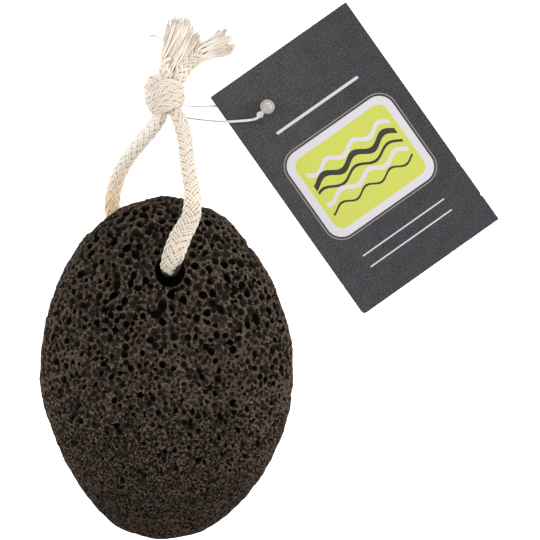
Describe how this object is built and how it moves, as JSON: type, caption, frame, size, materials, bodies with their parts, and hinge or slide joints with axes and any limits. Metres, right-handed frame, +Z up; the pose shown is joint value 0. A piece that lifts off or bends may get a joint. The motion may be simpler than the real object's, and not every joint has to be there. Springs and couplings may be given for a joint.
{
  "type": "pumice stone",
  "caption": "Egg-shaped black pumice stone for rubbing skin, drilled near one end and hung on a knotted loop of braided cotton cord with a plain printed card tag on a clear loop fastener.",
  "frame": {"origin": "bottom centre of the stone's own bounding box, on the surface it rests on", "axes": "+Z up, away from the worn underside; +Y along the stone's length towards the drilled end, the cord and the tag; +X across"},
  "size_m": [0.1364, 0.1599, 0.0376],
  "materials": {
    "stone": "rough, open-pored, dull",
    "cord": "soft undyed braided cotton",
    "fastener": "clear moulded plastic, slightly milky",
    "tag": "matte printed card"
  },
  "bodies": {
    "root": {"stone": "stone", "cord_loop": "cord", "cord_knot": "cord", "cord_tail_up": "cord", "cord_tail_side": "cord", "tag_fastener": "fastener", "tag": "tag"}
  },
  "joints": []
}
